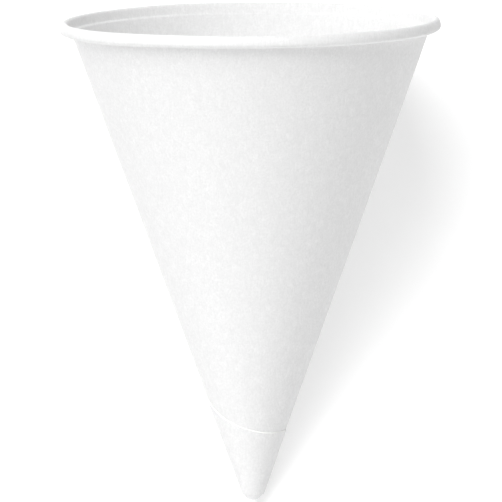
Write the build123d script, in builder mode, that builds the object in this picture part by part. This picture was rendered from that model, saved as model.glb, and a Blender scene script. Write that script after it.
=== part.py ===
from build123d import *
from math import acos, atan2, ceil, cos, degrees, radians, sin, tan
import os

# A cone paper cup: one sheet of white paper wound a little more than once round a
# cone-shaped former, its tail carried on once more round the tip, and its rim rolled outward.
# Lengths are in millimetres and angles in degrees.
#
# The cup is drawn upright, tip down, with the former's point at the origin, and laid down last.
# A side of the cup is an angle round the axis: 0 is the front, 90 the right and 180 the back.
# A slant is a distance from the former's point along its face, and outward is square to that face.

# Paper, and the former that it is wound on
sheet = 0.25
half_angle = 20.0
mouth_radius = 34.95
tip_radius = 1.68
pocket_step = 0.44

# Winding: how far the sheet laps over its start at the rim, where the straight cut edge of its tail
# comes nearest the tip, where the tail is cut off, and the tongue below that runs on to the end
lap_angle = 19.6
climb_angle = 2.0
tail_angle = 45.0
tail_offset = 18.05
cutoff_angle = 77.0
tongue_slant = 13.05

# Shoulder pressed into the wall below the roll, and the band between the two. This bend and those
# of the roll have their radii on the inside of the lap's two plies, where the bend is tightest.
shoulder_bend = 0.05
shoulder_angle = 45.0
band_length = 1.41

# Roll, as the paper turns over the crown, down the side and in under itself, and the gap that is
# left between its tucked edge and the band. Stiff paper takes a bend in flats of no more than this.
crown_bend = 0.175
crown_angle = 132.0
side_bend = 1.825
side_angle = 34.0
under_bend = 0.075
under_angle = 55.0
tuck_bend = 0.045
tuck_angle = 100.0
tuck_clearance = 0.43
flat_angle = 28.0

# Depth of the small flats that the roll and the tip are pressed to where the cup lies on a table
resting_flat = 0.17

# Points that follow the tail's cut edge, and the reach of its cutter either side of the paper
edge_points = 32
cutter_inside = 1.0
cutter_outside = 60.0

wall_sine = sin(radians(half_angle))
wall_cosine = cos(radians(half_angle))
wall_tangent = tan(radians(half_angle))
mouth_slant = mouth_radius / wall_sine
tip_slant = tip_radius / wall_sine
pocket_slant = (tip_radius + pocket_step) / wall_sine
level_sheet = sheet / wall_cosine

# The same bends on the face that was next to the former, two plies further out
shoulder_radius = shoulder_bend + 2 * sheet
crown_radius = crown_bend + 2 * sheet
side_radius = side_bend + 2 * sheet
under_radius = under_bend + 2 * sheet
tuck_radius = tuck_bend + 2 * sheet

# The tail's edge is a straight line on the flat sheet, so it leaves the rim this far round the cup,
# and the sheet starts and ends one lap before that
lap_end = tail_angle - degrees(acos(tail_offset / mouth_slant)) / wall_sine
lap_start = lap_end - lap_angle
start_angle = lap_start + 360


def on_wall(slant, outward):
    """Radius and height of a place on the wall, in the cup's half section."""
    radius = slant * wall_sine + outward * wall_cosine
    height = slant * wall_cosine - outward * wall_sine
    return (radius, height)


def on_side(side, radius, height=0.0):
    """Point of the upright cup at a side, a radius and a height."""
    return (radius * sin(radians(side)), -radius * cos(radians(side)), height)


def half_section(side):
    """Upright plane through the axis whose first direction points to that side of the cup."""
    return Plane(origin=(0, 0, 0), x_dir=on_side(side, 1), z_dir=on_side(side - 90, 1))


def tail_slant(side):
    """Slant of the tail's cut edge at a side, from its straight line on the flat sheet."""
    sheet_angle = (side - tail_angle) * wall_sine
    return tail_offset / cos(radians(sheet_angle))


def tail_edge(outward):
    """The tail's cut edge from the rim down to its corner, moved outward from the former."""
    turn = start_angle - lap_end
    sides = [lap_end + turn * step / edge_points for step in range(edge_points + 1)]
    return Edge.make_spline([Vector(*on_side(side, *on_wall(tail_slant(side), outward))) for side in sides])


def run_on(points, heading, length):
    """Carries a line on straight ahead."""
    points.append(points[-1] + Vector(cos(radians(heading)), sin(radians(heading))) * length)


def bend(points, heading, radius, turn):
    """Carries a line on round a bend, in flats that touch its circle, and gives the new heading."""
    steps = ceil(abs(turn) / flat_angle)
    half_flat = radius * tan(radians(abs(turn) / steps / 2))
    for step in range(steps):
        run_on(points, heading, half_flat)
        heading += turn / steps
        run_on(points, heading, half_flat)
    return heading


def off_wall(place):
    """Distance of a place in the half section from the former's face."""
    return place.X * wall_cosine - place.Y * wall_sine


def rim_line(outward, base):
    """Points of a ply's line from the mouth, out over the shoulder and round a roll with this base."""
    points = [Vector(*on_wall(mouth_slant, outward))]
    heading = bend(points, 90 - half_angle, shoulder_radius - outward, -shoulder_angle)
    heading = bend(points, heading, shoulder_radius + outward, shoulder_angle)
    run_on(points, heading, band_length)
    heading = bend(points, heading, crown_radius - outward, -crown_angle)
    heading = bend(points, heading, side_radius - outward, -side_angle)
    heading = bend(points, heading, under_radius - outward, -under_angle)
    run_on(points, heading, base)
    bend(points, heading, tuck_radius - outward, -tuck_angle)
    return points


def base_length():
    """Length of the roll's straight base that brings the lap's tucked edge to its gap from the band."""
    band_off_wall = 2 * sheet + 2 * shoulder_radius * (1 - cos(radians(shoulder_angle)))
    edge_off_wall = off_wall(rim_line(2 * sheet, 0)[-1])
    base_slope = crown_angle + side_angle + under_angle - 180
    return (edge_off_wall - band_off_wall - tuck_clearance) / sin(radians(base_slope))


def rolled_rim(outward):
    """Points of a ply's line from the mouth round the whole roll."""
    return rim_line(outward, base_length())


def tip_cap(slant, outward):
    """Round end that carries the wall's line on smoothly to the axis."""
    radius, height = on_wall(slant, outward)
    down_wall = (-wall_sine, -wall_cosine)
    return JernArc((radius, height), down_wall, radius / wall_cosine, half_angle - 90)


def climb_outline(height, outward, depth):
    """Wedge in which the paper climbs over the sheet's start, level with a height."""
    foot = height * wall_tangent + outward / wall_cosine - depth
    back = climb_angle * (1 + depth / level_sheet)
    with BuildSketch(Plane.XY.offset(height)) as outline:
        with BuildLine():
            Polyline(
                on_side(start_angle, foot)[:2],
                on_side(start_angle, foot + depth + level_sheet)[:2],
                on_side(start_angle - back, foot)[:2],
                close=True,
            )
        make_face()
    return outline.sketch


with BuildPart() as upright_cup:
    # Second ply on the wall, cut back along the tail's edge
    with BuildSketch(half_section(lap_start)):
        with BuildLine():
            Line(on_wall(tip_slant, 1.5 * sheet), on_wall(mouth_slant, 1.5 * sheet))
        trace(line_width=sheet)
    revolve(axis=Axis.Z)
    above_tail = Face.make_surface_from_curves(tail_edge(-cutter_inside), tail_edge(cutter_outside))
    extrude(above_tail, amount=2 * mouth_slant, dir=(0, 0, 1), mode=Mode.SUBTRACT)

    # Tail cut off on the right, above the tongue
    with BuildSketch(half_section(cutoff_angle)):
        with BuildLine():
            Line(on_wall(tongue_slant, 1.5 * sheet), on_wall(mouth_slant, 1.5 * sheet))
        trace(line_width=3 * sheet)
    revolve(axis=Axis.Z, revolution_arc=start_angle - cutoff_angle, mode=Mode.SUBTRACT)

    # Lap in the roll, where the second ply runs on between its start and the tail's edge
    with BuildSketch(half_section(lap_start)):
        with BuildLine():
            Polyline(*rolled_rim(1.5 * sheet))
        trace(line_width=sheet)
    revolve(axis=Axis.Z, revolution_arc=lap_end - lap_start)

    # First ply, from the closed tip to the tucked edge of the roll
    with BuildSketch(half_section(0)):
        with BuildLine():
            Polyline(on_wall(tip_slant, 0.5 * sheet), *rolled_rim(0.5 * sheet))
        trace(line_width=sheet)
        with BuildLine():
            outside = tip_cap(tip_slant, sheet)
            inside = tip_cap(pocket_slant, 0)
            Line(outside @ 1, inside @ 1)
            Polyline(inside @ 0, on_wall(pocket_slant, 0.5 * sheet), on_wall(tip_slant, 0.5 * sheet), outside @ 0)
        make_face()
    revolve(axis=Axis.Z)

    # Start of the sheet, an edge one sheet high inside, with the climb over it seen outside
    groove_bottom = on_wall(pocket_slant + sheet, 0)[1]
    climb_bottom = on_wall(tongue_slant - sheet, sheet)[1]
    mouth_height = on_wall(mouth_slant, 0)[1]
    groove = [climb_outline(height, 0, 0.5 * sheet) for height in (groove_bottom, mouth_height)]
    loft(groove, ruled=True, mode=Mode.SUBTRACT)
    ramp = [climb_outline(height, sheet, 0.5 * sheet) for height in (climb_bottom, mouth_height)]
    loft(ramp, ruled=True)

    # The same edge over the shoulder and round the roll, where the rolling has pressed it half flat
    with BuildSketch(half_section(start_angle - 0.5 * climb_angle)):
        with BuildLine():
            Polyline(*rolled_rim(0.25 * sheet))
        trace(line_width=0.5 * sheet)
    revolve(axis=Axis.Z, revolution_arc=0.5 * climb_angle, mode=Mode.SUBTRACT)

# The cup can't stand on its tip, so it lies back down on its roll and the tail's lower edge, with
# the tail and the lap underneath, where their weight holds it
resting_edge = Vector(*on_wall(tip_slant, 2 * sheet))
lean = max(atan2(place.X - resting_edge.X, place.Y - resting_edge.Y) for place in rolled_rim(0))
laid_back = Plane(origin=(0, 0, 0), x_dir=(1, 0, 0), z_dir=(0, cos(lean), sin(lean)))
laid_cup = laid_back.from_local_coords(upright_cup.part)
table = Plane.XY.offset(laid_cup.bounding_box().min.Z + resting_flat)

with BuildPart() as cone_cup:
    add(laid_cup)
    split(bisect_by=table, keep=Keep.TOP)

reach = cone_cup.part.bounding_box()
cone_cup.part.position -= Vector(reach.center().X, reach.center().Y, reach.min.Z)
cone_cup.part.label = "cone_cup"
os.makedirs("parts", exist_ok=True)
export_step(cone_cup.part, "parts/cone_cup.step")

upright = upright_cup.part.bounding_box()
print(f"roll {2 * upright.max.X:.2f} mm across, cup {upright.size.Z:.2f} mm high")
print(f"sheet starts at {start_angle:.1f} degrees, cup leaning {degrees(lean):.3f} degrees from the table")
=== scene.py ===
import bpy
from math import atan2, ceil, cos, pi, radians, sin, tan
from bpy.props import FloatProperty, FloatVectorProperty, PointerProperty
from mathutils import Matrix, Quaternion, Vector, noise


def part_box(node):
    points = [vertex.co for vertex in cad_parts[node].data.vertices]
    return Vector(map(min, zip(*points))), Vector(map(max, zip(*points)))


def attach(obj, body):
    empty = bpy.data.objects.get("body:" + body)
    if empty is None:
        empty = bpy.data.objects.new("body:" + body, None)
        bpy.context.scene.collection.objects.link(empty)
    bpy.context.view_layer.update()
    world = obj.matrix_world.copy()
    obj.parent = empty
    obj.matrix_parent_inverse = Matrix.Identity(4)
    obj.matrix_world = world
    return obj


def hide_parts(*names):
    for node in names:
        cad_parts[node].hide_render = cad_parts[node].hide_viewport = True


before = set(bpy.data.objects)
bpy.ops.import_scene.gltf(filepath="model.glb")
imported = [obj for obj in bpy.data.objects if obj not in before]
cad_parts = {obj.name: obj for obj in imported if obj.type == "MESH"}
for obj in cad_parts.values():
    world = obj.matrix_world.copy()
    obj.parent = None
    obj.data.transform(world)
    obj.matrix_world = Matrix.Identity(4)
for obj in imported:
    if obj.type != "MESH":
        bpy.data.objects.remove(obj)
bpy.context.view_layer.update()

bl_info = {
    "name": "Cone Paper Cup",
    "version": (1, 0, 0),
    "blender": (4, 5, 0),
    "location": "View3D > Sidebar > Paper Cup",
    "description": "Winds a white paper cone cup from one sheet and sets it in a plain studio",
    "category": "Object",
}

# The node that the wound paper stands for, and the place that it keeps
CUP_NODE = "cone_cup"
CUP_LOW, CUP_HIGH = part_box(CUP_NODE)

FULL_TURN = 2 * pi

# Paper and the former that it is wound on, in metres and radians. A side is an angle round the
# cup's axis: 0 is the front, a quarter turn the right and half a turn the back. A slant is a
# distance from the former's point along its face.
SHEET = 0.00025
HALF_ANGLE = radians(20.0)
MOUTH_RADIUS = 0.03495
TIP_RADIUS = 0.00168
POCKET_RADIUS = 0.00212
MOUTH_SLANT = MOUTH_RADIUS / sin(HALF_ANGLE)
TIP_SLANT = TIP_RADIUS / sin(HALF_ANGLE)
POCKET_SLANT = POCKET_RADIUS / sin(HALF_ANGLE)

# Tail: the side where its straight cut comes nearest the tip, how near it comes there and how far
# it reaches either way on the flat sheet, the side where it is cut off, and the tongue below
TAIL_SIDE = radians(45.0)
TAIL_OFFSET = 0.0183
TAIL_REACH = radians(85.0)
CUTOFF_SIDE = radians(77.0)
TONGUE_SLANT = 0.01305

# The knife leaves the tail's cut edge sloping: its outer face ends this much before its inner face
CUT_SLOPE = 0.00013

# Start of the sheet, pressed thin under the ply that climbs over it
START_SIDE = radians(152.0)
PRESSED_START = radians(5.0)
PRESSED_SHARE = 0.22
CLIMB = radians(1.2)
PLY_GAP = 0.00001

# Line of the sheet from the mouth on. A bend is its radius, its turn (below zero is outward, away
# from the axis) and its rows in the mesh; a straight run is its length and its rows.
WALL_ROWS = 52
SHOULDER_OUT = (0.00055, radians(-45.0), 4)
SHOULDER_BACK = (0.00055, radians(45.0), 4)
BAND = (0.00141, 4)
CROWN = (0.000675, radians(-132.0), 14)
SIDE = (0.002325, radians(-34.0), 6)
UNDER = (0.000575, radians(-55.0), 7)
BASE = (0.000498, 2)
TUCK = (0.000545, radians(-100.0), 8)

# Closed tip: its mesh, how far it runs up in the wound sheet and how little nearer the axis its ends
# lie than the sheet's faces, and its pleats, how they twist on the way down and how uneven they are
CAP_COLUMNS = 96
CAP_ROWS = 14
CAP_OVERLAP = 0.0009
CAP_INSET = 0.00001
PLEATS = 5
PLEAT_TWIST = 4
PLEAT_UNEVENNESS = 0.8

# Slow waves of the wall and the roll: how close together they are, where in the noise the roll's
# are taken from, and the lengths along the sheet over which they fade in
WALL_WAVES_ROUND = 2.1
WALL_WAVES_ALONG = 55
WALL_WAVES_FADE = 0.03
ROLL_WAVES_ROUND = 2.6
ROLL_WAVES_START = 7
ROLL_WAVES_LEVEL = 3
ROLL_WAVES_BELOW_MOUTH = 0.002
ROLL_WAVES_FADE = 0.003

# Sag at the roll's left end: how soon it comes on there, and how far from the front it starts
SAG_STEEPNESS = 1.6
SAG_START = 0.6

# Columns of the mesh where the sheet climbs over its start, and the angle of an edge that is crisp
CLIMB_COLUMNS = 6
PRESSED_COLUMNS = 8
CRISP_EDGE = radians(38)

# Flecks of the paper, as how much deeper they are than its clouds, and the cut edge's finer grain
FLECK_DEPTH = 2
EDGE_FINENESS = 0.5

# Photograph's frame, and where the cup stands in it
PHOTO_SIZE = 502
METRES_PER_PIXEL = 0.00019725
APEX_PIXEL = (253.4, 515.9)
VIEW_ELEVATION = radians(6.1)
CAMERA_ROLL = radians(-0.37)
CAMERA_DISTANCE = 3.0
SENSOR_MILLIMETRES = 36.0

# Studio: the floor's reach each way, and the size and distance of its large and small soft lights
FLOOR_REACH = 3.0
LARGE_LIGHT = (1.1, 1.4)
SMALL_LIGHT = (0.3, 0.35)


class PaperSettings(bpy.types.PropertyGroup):
    """Look of the paper."""

    white: FloatVectorProperty(
        name="White", description="Colour of the paper's faces", subtype="COLOR",
        size=3, min=0, max=1, default=(0.868, 0.868, 0.868),
    )
    # The cut paper's own slightly paler white, raised further as a painted highlight where light catches
    # the cut edge
    edge_white_and_highlight: FloatVectorProperty(
        name="Edge white", description="Colour of the paper where it was cut", subtype="COLOR",
        size=3, min=0, max=1, default=(0.95, 0.95, 0.935),
    )
    grain: FloatProperty(
        name="Grain", description="Width of the fine grain on the paper's face",
        subtype="DISTANCE", unit="LENGTH", precision=5, default=0.00042,
    )
    cloud: FloatProperty(
        name="Cloud", description="Width of the pale and dark clouds that the fibres make in the sheet",
        subtype="DISTANCE", unit="LENGTH", precision=5, default=0.0016,
    )
    relief: FloatProperty(
        name="Relief", description="Height of the grain above the face",
        subtype="DISTANCE", unit="LENGTH", precision=6, default=0.000024,
    )


class ShapeSettings(bpy.types.PropertyGroup):
    """How far the wound sheet is from a perfect cone."""

    wall_ripple: FloatProperty(
        name="Wall ripple", description="Height of the slow waves in the wall",
        subtype="DISTANCE", unit="LENGTH", precision=5, default=0.00006,
    )
    roll_ripple: FloatProperty(
        name="Roll ripple", description="Height of the slow waves along the roll",
        subtype="DISTANCE", unit="LENGTH", precision=5, default=0.00007,
    )
    rim_sag: FloatProperty(
        name="Rim sag", description="How far the roll hangs lower at its left end than the rest of the rim",
        subtype="DISTANCE", unit="LENGTH", precision=5, default=0.00035,
    )
    tip_pleat: FloatProperty(
        name="Tip pleat", description="Height of the small pleats pressed into the closed tip",
        subtype="DISTANCE", unit="LENGTH", precision=5, default=0.00005,
    )
    column_turn: FloatProperty(
        name="Column turn", description="Turn round the cup from one column of the mesh to the next",
        subtype="ANGLE", unit="ROTATION", default=radians(2.0),
    )


class StudioSettings(bpy.types.PropertyGroup):
    """Floor and light of the studio."""

    floor_white: FloatVectorProperty(
        name="Floor", description="Colour of the floor", subtype="COLOR",
        size=3, min=0, max=1, default=(0.93, 0.93, 0.93),
    )
    floor_glow: FloatProperty(
        name="Floor glow", description="Light of the lit white table", min=0, default=0.2,
    )
    surround: FloatProperty(
        name="Surround", description="Light of the white room", min=0, default=0.095,
    )
    key_power: FloatProperty(
        name="Key", description="Power of the large soft light before the cup, above its mouth",
        subtype="POWER", unit="POWER", min=0, default=18.2,
    )
    side_power: FloatProperty(
        name="Side", description="Power of the large soft light at the cup's left",
        subtype="POWER", unit="POWER", min=0, default=6.9,
    )
    fill_power: FloatProperty(
        name="Fill", description="Power of the large soft light before the cup, low on the right",
        subtype="POWER", unit="POWER", min=0, default=9.4,
    )
    low_power: FloatProperty(
        name="Low", description="Power of the small light close to the cup, low on its left",
        subtype="POWER", unit="POWER", min=0, default=0.28,
    )


def smooth_step(value):
    """Ease from 0 to 1."""
    held = min(max(value, 0.0), 1.0)
    return held * held * (3 - 2 * held)


def on_wall(slant, outward):
    """Radius and height of a place on the wall, in the cup's half section."""
    return Vector((
        slant * sin(HALF_ANGLE) + outward * cos(HALF_ANGLE),
        slant * cos(HALF_ANGLE) - outward * sin(HALF_ANGLE),
    ))


class Outline:
    """Line that the sheet's inner face follows in the half section, row by row from the tip."""

    def __init__(self):
        """Starts at the tip, heading up the wall."""
        self.point = on_wall(TIP_SLANT, 0)
        self.heading = pi / 2 - HALF_ANGLE
        self.length = TIP_SLANT
        self.rows = []
        self.keep_row()

    def keep_row(self):
        """Keeps the line's length so far, its point and its outward direction there."""
        outward = Vector((sin(self.heading), -cos(self.heading)))
        self.rows.append((self.length, self.point.copy(), outward))

    def run(self, length, steps):
        """Carries the line straight on."""
        along = Vector((cos(self.heading), sin(self.heading)))
        for step in range(steps):
            self.point = self.point + along * (length / steps)
            self.length += length / steps
            self.keep_row()

    def bend(self, radius, turn, steps):
        """Carries the line round a bend."""
        for step in range(steps):
            chord = 2 * radius * sin(abs(turn) / steps / 2)
            middle = self.heading + turn / steps / 2
            self.point = self.point + Vector((cos(middle), sin(middle))) * chord
            self.heading += turn / steps
            self.length += radius * abs(turn) / steps
            self.keep_row()


def sheet_outline():
    """Rows of the sheet from the tip, up the wall, over the shoulder and round the roll."""
    outline = Outline()
    outline.run(MOUTH_SLANT - TIP_SLANT, WALL_ROWS)
    outline.bend(*SHOULDER_OUT)
    outline.bend(*SHOULDER_BACK)
    outline.run(*BAND)
    for bend in (CROWN, SIDE, UNDER):
        outline.bend(*bend)
    outline.run(*BASE)
    outline.bend(*TUCK)
    return outline.rows


def row_at(rows, length):
    """Point and outward direction of the outline at a length along it."""
    for (before, point_a, out_a), (after, point_b, out_b) in zip(rows, rows[1:]):
        if length <= after + 1e-9:
            share = (length - before) / (after - before)
            return point_a.lerp(point_b, share), out_a.lerp(out_b, share).normalized()
    return rows[-1][1], rows[-1][2]


def lean_and_shift():
    """Lean of the lying cup's axis, and the shift that puts it where the CAD node lies."""
    touch = on_wall(TIP_SLANT, 2 * SHEET)
    section = sheet_outline()
    rim = section[WALL_ROWS:]
    lean = max(atan2(point.x - touch.x, point.y - touch.y) for length, point, outward in rim)
    reach_y = max(point.y * cos(lean) + point.x * sin(lean) for length, point, outward in section)
    reach_z = max(point.y * sin(lean) + point.x * cos(lean) for length, point, outward in section)
    return lean, Vector((0, CUP_HIGH.y - reach_y, CUP_HIGH.z - reach_z))


LEAN, SHIFT = lean_and_shift()
AXIS = Vector((0, cos(LEAN), sin(LEAN)))
FRONT = Vector((0, -sin(LEAN), cos(LEAN)))
RIGHT = Vector((1, 0, 0))


def in_frame(side, radius, height):
    """Place in the shared frame of a point of the cup, pressed flat where it lies on the table."""
    place = SHIFT + AXIS * height + (RIGHT * sin(side) + FRONT * cos(side)) * radius
    place.z = max(place.z, CUP_LOW.z)
    return place


def wall_wave(side, length, size):
    """Slow outward wave of the wall, the same for every ply at one place."""
    across = cos(side) * WALL_WAVES_ROUND
    back = sin(side) * WALL_WAVES_ROUND
    place = Vector((across, back, length * WALL_WAVES_ALONG))
    fade = smooth_step((length - TIP_SLANT) / WALL_WAVES_FADE)
    return size * fade * noise.noise(place)


def roll_wave(side, length, shape):
    """Slow rise and fall of the roll along the rim, and its sag at the left end."""
    fade = smooth_step((length - MOUTH_SLANT + ROLL_WAVES_BELOW_MOUTH) / ROLL_WAVES_FADE)
    across = cos(side) * ROLL_WAVES_ROUND + ROLL_WAVES_START
    place = Vector((across, sin(side) * ROLL_WAVES_ROUND, ROLL_WAVES_LEVEL))
    sag = smooth_step(-sin(side) * SAG_STEEPNESS - SAG_START)
    return fade * (shape.roll_ripple * noise.noise(place) - shape.rim_sag * sag)


def ply_thickness(turn):
    """Thickness of the sheet at a winding angle; its start is pressed thin under the ply over it."""
    return SHEET * (PRESSED_SHARE + (1 - PRESSED_SHARE) * smooth_step(turn / PRESSED_START))


def ply_lift(turn):
    """Height of the sheet's inner face over the former at a winding angle from the sheet's start."""
    over_start = smooth_step((turn - FULL_TURN + CLIMB) / CLIMB)
    return over_start * (ply_thickness(max(turn - FULL_TURN, 0)) + PLY_GAP)


def sheet_end(turn, reach):
    """Length up the sheet at which it ends at a winding angle: its reach or the tail's straight cut."""
    flat_angle = (turn + START_SIDE - 2 * FULL_TURN - TAIL_SIDE) * sin(HALF_ANGLE)
    if abs(flat_angle) > TAIL_REACH:
        return reach
    return min(reach, TAIL_OFFSET / cos(flat_angle))


def winding_columns(first, last, step):
    """Winding angles of the mesh's columns, closer together where the sheet climbs over its start."""
    count = ceil((last - first) / step)
    columns = [first + (last - first) * index / count for index in range(count + 1)]
    closer = [FULL_TURN - CLIMB * index / CLIMB_COLUMNS for index in range(CLIMB_COLUMNS + 1)]
    for index in range(1, PRESSED_COLUMNS + 1):
        pressed = PRESSED_START * index / PRESSED_COLUMNS
        closer += [pressed, FULL_TURN + pressed]
    return sorted(set(columns + [turn for turn in closer if first < turn < last]))


def new_piece(name, points, faces, slots, materials):
    """Mesh object on the root body, with smooth faces and crisp cut edges."""
    mesh = bpy.data.meshes.new(name)
    mesh.from_pydata([tuple(point) for point in points], [], faces)
    for material in materials:
        mesh.materials.append(material)
    for face, index in zip(mesh.polygons, slots):
        face.material_index = index
        face.use_smooth = True
    mesh.validate()
    mesh.set_sharp_from_angle(angle=CRISP_EDGE)
    piece = bpy.data.objects.new(name, mesh)
    bpy.context.scene.collection.objects.link(piece)
    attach(piece, "root")
    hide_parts(CUP_NODE)
    return piece


def wound_sheet_mesh(shape):
    """Points, faces and material slots of the sheet: two faces, and the cut edge all round."""
    rows = sheet_outline()
    full_length = rows[-1][0]
    shares = [(length - TIP_SLANT) / (full_length - TIP_SLANT) for length, point, outward in rows]
    per_face = len(rows)
    cutoff = 2 * FULL_TURN - START_SIDE + CUTOFF_SIDE
    # The sheet as far as its cut-off, and then the tongue: first and last winding angle, reach up
    # the sheet, and the cut edges as a column, whether it is turned over, and where it starts
    runs = (
        (0, cutoff, full_length, ((0, True, 0), (-1, False, TONGUE_SLANT))),
        (cutoff, 2 * FULL_TURN, TONGUE_SLANT, ((-1, False, 0),)),
    )
    points = []
    faces = []
    slots = []

    def add_edge_face(here, there, across, flip):
        """Face of the cut edge between two points of the inner face, across to the outer one."""
        corners = (here, here + across, there + across, there)
        faces.append(tuple(reversed(corners)) if flip else corners)
        slots.append(1)

    for first, last, reach, cut_edges in runs:
        turns = winding_columns(first, last, shape.column_turn)
        starts = []
        for turn in turns:
            side = turn + START_SIDE
            end = sheet_end(turn, reach)
            lift = ply_lift(turn)
            starts.append(len(points))
            slope = CUT_SLOPE if end < full_length else 0
            for thickness, cut_back in ((0, -slope / 2), (ply_thickness(turn), slope / 2)):
                for share in shares:
                    along = TIP_SLANT + share * (end - cut_back - TIP_SLANT)
                    point, outward = row_at(rows, along)
                    wave = wall_wave(side, along, shape.wall_ripple)
                    place = point + outward * (lift + thickness + wave)
                    points.append(in_frame(side, place.x, place.y + roll_wave(side, along, shape)))
        for here, there in zip(starts, starts[1:]):
            for row in range(per_face - 1):
                inner = (here + row, there + row, there + row + 1, here + row + 1)
                faces.append(inner)
                faces.append(tuple(reversed([index + per_face for index in inner])))
                slots += [0, 0]
            for row, flip in ((0, False), (per_face - 1, True)):
                add_edge_face(here + row, there + row, per_face, flip)
        for column, flip, from_length in cut_edges:
            here = starts[column]
            end = sheet_end(turns[column], reach)
            for row in range(per_face - 1):
                if TIP_SLANT + shares[row + 1] * (end - TIP_SLANT) < from_length:
                    continue
                add_edge_face(here + row, here + row + 1, per_face, flip)
    return points, faces, slots


def closed_tip_mesh(shape):
    """Points and faces of the tip's round end, with small pleats pressed into it."""
    points = []
    faces = []
    for outside, slant, outward in ((True, TIP_SLANT, SHEET), (False, POCKET_SLANT, 0)):
        radius, height = on_wall(slant, outward)
        bend_radius = radius / cos(HALF_ANGLE)
        centre = height + radius * tan(HALF_ANGLE)
        section = [on_wall(slant + CAP_OVERLAP, outward - CAP_INSET)]
        for row in range(CAP_ROWS):
            angle = HALF_ANGLE + (pi / 2 - HALF_ANGLE) * row / CAP_ROWS
            section.append(Vector((bend_radius * cos(angle), centre - bend_radius * sin(angle))))
        first = len(points)
        for index, place in enumerate(section):
            depth = index / len(section)
            for column in range(CAP_COLUMNS):
                side = FULL_TURN * column / CAP_COLUMNS
                swirl = PLEATS * side + PLEAT_TWIST * depth + PLEAT_UNEVENNESS * sin(2 * side)
                pleat = shape.tip_pleat * smooth_step(depth * 2) * (1 - depth) * 2 * cos(swirl)
                points.append(in_frame(side, place.x + pleat, place.y))
        points.append(in_frame(0, 0, centre - bend_radius))
        pole = len(points) - 1
        last = first + CAP_ROWS * CAP_COLUMNS
        layer = []
        for low in range(first, last, CAP_COLUMNS):
            high = low + CAP_COLUMNS
            for column in range(CAP_COLUMNS):
                after = (column + 1) % CAP_COLUMNS
                layer.append((low + column, low + after, high + after, high + column))
        for column in range(CAP_COLUMNS):
            layer.append((last + column, last + (column + 1) % CAP_COLUMNS, pole))
        faces += [tuple(reversed(face)) for face in layer] if outside else layer
    second = len(points) // 2
    for column in range(CAP_COLUMNS):
        after = (column + 1) % CAP_COLUMNS
        faces.append((column, after, second + after, second + column))
    return points, faces, [0] * len(faces)


def add_node(tree, kind, place, **values):
    """Shader node with its own settings and socket values."""
    node = tree.nodes.new(kind)
    node.location = place
    for name, value in values.items():
        if hasattr(node, name):
            setattr(node, name, value)
        else:
            node.inputs[name.replace("_", " ")].default_value = value
    return node


def paper_grain_group():
    """Node group of the paper's clouds, fibres and grain, in the object's own metres."""
    name = "Paper grain"
    if name in bpy.data.node_groups:
        return bpy.data.node_groups[name]
    group = bpy.data.node_groups.new(name, "ShaderNodeTree")
    face = group.interface
    for label, default in (("Grain width", 0.0003), ("Cloud width", 0.0016), ("Strength", 1.0)):
        socket = face.new_socket(label, in_out="INPUT", socket_type="NodeSocketFloat")
        socket.default_value = default
    for label in ("Clouds", "Fibres", "Height"):
        face.new_socket(label, in_out="OUTPUT", socket_type="NodeSocketFloat")
    given = add_node(group, "NodeGroupInput", (-1300, 0))
    result = add_node(group, "NodeGroupOutput", (700, 0))
    place = add_node(group, "ShaderNodeTexCoord", (-1300, -300))
    link = group.links.new

    def scale_of(socket, at):
        """Noise scale for a width in metres."""
        node = add_node(group, "ShaderNodeMath", at, operation="DIVIDE")
        node.inputs[0].default_value = 1.0
        link(given.outputs[socket], node.inputs[1])
        return node.outputs[0]

    grain_scale = scale_of("Grain width", (-1050, 200))
    cloud_scale = scale_of("Cloud width", (-1050, 0))

    clouds = add_node(group, "ShaderNodeTexNoise", (-750, 200), Detail=3.0, Roughness=0.55, Distortion=0.4)
    link(place.outputs["Object"], clouds.inputs["Vector"])
    link(cloud_scale, clouds.inputs["Scale"])

    # Fibres lie along one direction in the sheet, the grain does not
    stretch = add_node(group, "ShaderNodeMapping", (-1000, -300))
    stretch.inputs["Scale"].default_value = (1.0, 0.22, 0.4)
    stretch.inputs["Rotation"].default_value = (0.3, 0.2, 0.5)
    link(place.outputs["Object"], stretch.inputs["Vector"])
    fibres = add_node(group, "ShaderNodeTexNoise", (-750, -100), Detail=4.0, Roughness=0.6, Distortion=1.2)
    link(stretch.outputs["Vector"], fibres.inputs["Vector"])
    link(grain_scale, fibres.inputs["Scale"])

    grain = add_node(group, "ShaderNodeTexNoise", (-750, -400), Detail=3.0, Roughness=0.65)
    link(place.outputs["Object"], grain.inputs["Vector"])
    link(grain_scale, grain.inputs["Scale"])

    both = add_node(group, "ShaderNodeMath", (-350, -250), operation="ADD")
    link(fibres.outputs["Fac"], both.inputs[0])
    link(grain.outputs["Fac"], both.inputs[1])
    height = add_node(group, "ShaderNodeMath", (-100, -250), operation="MULTIPLY")
    link(both.outputs[0], height.inputs[0])
    link(given.outputs["Strength"], height.inputs[1])
    mean = add_node(group, "ShaderNodeMath", (-100, -50), operation="MULTIPLY")
    mean.inputs[1].default_value = 0.5
    link(both.outputs[0], mean.inputs[0])

    link(clouds.outputs["Fac"], result.inputs["Clouds"])
    link(mean.outputs[0], result.inputs["Fibres"])
    link(height.outputs[0], result.inputs["Height"])
    return group


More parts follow.
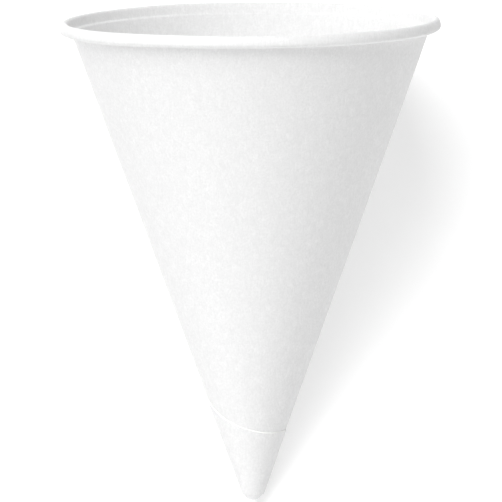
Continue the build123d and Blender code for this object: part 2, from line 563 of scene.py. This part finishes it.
def paper_material(name, colour, darker, grain_width, cloud_width, relief, strength):
    """White paper: matt, with a grain, clouds of a darker share of its colour and deeper flecks."""
    material = bpy.data.materials.new(name)
    material.use_nodes = True
    tree = material.node_tree
    tree.nodes.clear()
    link = tree.links.new
    output = add_node(tree, "ShaderNodeOutputMaterial", (700, 0))
    shader = add_node(tree, "ShaderNodeBsdfPrincipled", (350, 0))
    shader.inputs["IOR"].default_value = 1.46
    shader.inputs["Specular IOR Level"].default_value = 0.32
    link(shader.outputs["BSDF"], output.inputs["Surface"])
    grain = add_node(tree, "ShaderNodeGroup", (-700, 0))
    grain.node_tree = paper_grain_group()
    grain.inputs["Grain width"].default_value = grain_width
    grain.inputs["Cloud width"].default_value = cloud_width
    grain.inputs["Strength"].default_value = strength

    def tinted(share):
        """The paper's colour, darkened to a share of itself."""
        return (*[channel * share for channel in colour], 1)

    tone = add_node(tree, "ShaderNodeMapRange", (-450, 250), From_Min=0.3, From_Max=0.7)
    link(grain.outputs["Clouds"], tone.inputs["Value"])
    clouded = add_node(tree, "ShaderNodeMix", (-200, 300), data_type="RGBA")
    clouded.inputs["A"].default_value = tinted(darker)
    clouded.inputs["B"].default_value = tinted(1)
    link(tone.outputs["Result"], clouded.inputs["Factor"])
    fleck = add_node(tree, "ShaderNodeMapRange", (-450, 0), From_Min=0.37, From_Max=0.63)
    link(grain.outputs["Fibres"], fleck.inputs["Value"])
    flecked = add_node(tree, "ShaderNodeMix", (50, 250), data_type="RGBA")
    flecked.inputs["B"].default_value = tinted(1 - FLECK_DEPTH * (1 - darker))
    link(fleck.outputs["Result"], flecked.inputs["Factor"])
    link(clouded.outputs["Result"], flecked.inputs["A"])
    link(flecked.outputs["Result"], shader.inputs["Base Color"])

    matt = add_node(tree, "ShaderNodeMapRange", (50, 0), To_Min=0.78, To_Max=0.94)
    link(grain.outputs["Fibres"], matt.inputs["Value"])
    link(matt.outputs["Result"], shader.inputs["Roughness"])

    bump = add_node(tree, "ShaderNodeBump", (50, -300), Distance=relief, Strength=1.0)
    link(grain.outputs["Height"], bump.inputs["Height"])
    link(bump.outputs["Normal"], shader.inputs["Normal"])
    return material


def paper_materials(paper):
    """The sheet's face and its cut edge."""
    face = paper_material("White paper", paper.white, 0.94, paper.grain, paper.cloud, paper.relief, 1.0)
    grain = EDGE_FINENESS * paper.grain
    cloud = EDGE_FINENESS * paper.cloud
    # The cut edge's brighter white is partly the cut paper's own paleness and partly a painted highlight of
    # light falling on the edge
    edge = paper_material("Cut edge of the paper", paper.edge_white_and_highlight, 0.95, grain, cloud, paper.relief, 0.6)
    return [face, edge]


class CUP_OT_wound_sheet(bpy.types.Operator):
    """Wind the sheet round the cone, lap it over its start and roll its rim outward"""

    bl_idname = "paper_cup.wound_sheet"
    bl_label = "Wound sheet"

    def execute(self, context):
        points, faces, slots = wound_sheet_mesh(context.scene.cup_shape)
        new_piece("wound_sheet", points, faces, slots, paper_materials(context.scene.cup_paper))
        return {"FINISHED"}


class CUP_OT_closed_tip(bpy.types.Operator):
    """Press the sheet's point into the cup's round, closed tip"""

    bl_idname = "paper_cup.closed_tip"
    bl_label = "Closed tip"

    def execute(self, context):
        points, faces, slots = closed_tip_mesh(context.scene.cup_shape)
        face = bpy.data.materials.get("White paper") or paper_materials(context.scene.cup_paper)[0]
        new_piece("closed_tip", points, faces, slots, [face])
        return {"FINISHED"}


def add_floor(studio):
    """Plain white table that the cup lies on, lit so that it stays pale."""
    mesh = bpy.data.meshes.new("floor")
    corners = [(x * FLOOR_REACH, y * FLOOR_REACH, 0) for x, y in ((-1, -1), (1, -1), (1, 1), (-1, 1))]
    mesh.from_pydata(corners, [], [(0, 1, 2, 3)])
    floor = bpy.data.objects.new("floor", mesh)
    bpy.context.scene.collection.objects.link(floor)
    material = bpy.data.materials.new("Floor")
    material.use_nodes = True
    shader = material.node_tree.nodes["Principled BSDF"]
    shader.inputs["Base Color"].default_value = (*studio.floor_white, 1)
    shader.inputs["Roughness"].default_value = 0.9
    shader.inputs["Specular IOR Level"].default_value = 0.1
    shader.inputs["Emission Color"].default_value = (1, 1, 1, 1)
    shader.inputs["Emission Strength"].default_value = studio.floor_glow
    mesh.materials.append(material)


def add_soft_light(name, direction, power, size, distance):
    """Square light in a direction from the cup, facing it."""
    light = bpy.data.lights.new(name, "AREA")
    light.shape = "SQUARE"
    light.size = size
    light.energy = power
    lamp = bpy.data.objects.new(name, light)
    aim = (CUP_LOW + CUP_HIGH) / 2
    lamp.location = aim + direction.normalized() * distance
    lamp.rotation_mode = "QUATERNION"
    lamp.rotation_quaternion = direction.to_track_quat("Z", "Y")
    lamp.visible_camera = False
    bpy.context.scene.collection.objects.link(lamp)


def add_surround(studio):
    """Even white light from the room."""
    world = bpy.data.worlds.new("Studio")
    world.use_nodes = True
    background = world.node_tree.nodes["Background"]
    background.inputs["Color"].default_value = (1, 1, 1, 1)
    background.inputs["Strength"].default_value = studio.surround
    bpy.context.scene.world = world


def add_camera():
    """Camera at the photograph's viewing angle, looking down on the lying cup."""
    towards = FRONT * cos(VIEW_ELEVATION) + AXIS * sin(VIEW_ELEVATION)
    spin = Quaternion(towards, CAMERA_ROLL)
    right = spin @ RIGHT
    up = spin @ (AXIS * cos(VIEW_ELEVATION) - FRONT * sin(VIEW_ELEVATION))
    centre_pixel = PHOTO_SIZE / 2
    across = (centre_pixel - APEX_PIXEL[0]) * METRES_PER_PIXEL
    above = (APEX_PIXEL[1] - centre_pixel) * METRES_PER_PIXEL
    aim = SHIFT + right * across + up * above
    lens = bpy.data.cameras.new("Camera")
    lens.sensor_width = SENSOR_MILLIMETRES
    lens.lens = SENSOR_MILLIMETRES * CAMERA_DISTANCE / (PHOTO_SIZE * METRES_PER_PIXEL)
    lens.clip_start = 0.01
    lens.clip_end = 20.0
    camera = bpy.data.objects.new("Camera", lens)
    camera.matrix_world = Matrix((
        (right.x, up.x, towards.x, aim.x + towards.x * CAMERA_DISTANCE),
        (right.y, up.y, towards.y, aim.y + towards.y * CAMERA_DISTANCE),
        (right.z, up.z, towards.z, aim.z + towards.z * CAMERA_DISTANCE),
        (0, 0, 0, 1),
    ))
    bpy.context.scene.collection.objects.link(camera)
    bpy.context.scene.camera = camera


class CUP_OT_studio(bpy.types.Operator):
    """Lay the floor, place the soft lights and aim the camera"""

    bl_idname = "paper_cup.studio"
    bl_label = "Studio"

    def execute(self, context):
        studio = context.scene.cup_studio
        add_floor(studio)
        add_surround(studio)
        lights = (
            ("key_light", RIGHT * -0.2 + AXIS * 0.75 + FRONT * 0.6, studio.key_power, LARGE_LIGHT),
            ("side_light", RIGHT * -0.7 + AXIS * 0.3 + FRONT * 0.6, studio.side_power, LARGE_LIGHT),
            ("fill_light", RIGHT * 0.35 - AXIS * 0.35 + FRONT * 0.85, studio.fill_power, LARGE_LIGHT),
            ("low_light", RIGHT * -0.5 - AXIS * 0.75 + FRONT * 0.45, studio.low_power, SMALL_LIGHT),
        )
        for name, direction, power, (size, distance) in lights:
            add_soft_light(name, direction, power, size, distance)
        add_camera()
        context.scene.view_settings.view_transform = "Standard"
        return {"FINISHED"}


class CUP_PT_panel(bpy.types.Panel):
    """Panel that lists the cup's pieces and their settings."""

    bl_label = "Paper Cup"
    bl_idname = "CUP_PT_panel"
    bl_space_type = "VIEW_3D"
    bl_region_type = "UI"
    bl_category = "Paper Cup"

    def draw(self, context):
        layout = self.layout
        for settings in (context.scene.cup_paper, context.scene.cup_shape, context.scene.cup_studio):
            box = layout.box()
            for name in settings.__annotations__:
                box.prop(settings, name)
        for operator in PIECES:
            layout.operator(operator.bl_idname)


SETTINGS = {"cup_paper": PaperSettings, "cup_shape": ShapeSettings, "cup_studio": StudioSettings}
PIECES = (CUP_OT_wound_sheet, CUP_OT_closed_tip, CUP_OT_studio)


def register():
    """Make the settings, operators and panel known to Blender."""
    for name, settings in SETTINGS.items():
        bpy.utils.register_class(settings)
        setattr(bpy.types.Scene, name, PointerProperty(type=settings))
    for operator in PIECES:
        bpy.utils.register_class(operator)
    bpy.utils.register_class(CUP_PT_panel)


def unregister():
    """Take them out again."""
    bpy.utils.unregister_class(CUP_PT_panel)
    for operator in reversed(PIECES):
        bpy.utils.unregister_class(operator)
    for name, settings in SETTINGS.items():
        delattr(bpy.types.Scene, name)
        bpy.utils.unregister_class(settings)


def main():
    """Build every piece."""
    register()
    bpy.ops.paper_cup.wound_sheet()
    bpy.ops.paper_cup.closed_tip()
    bpy.ops.paper_cup.studio()


if __name__ == "__main__":
    main()
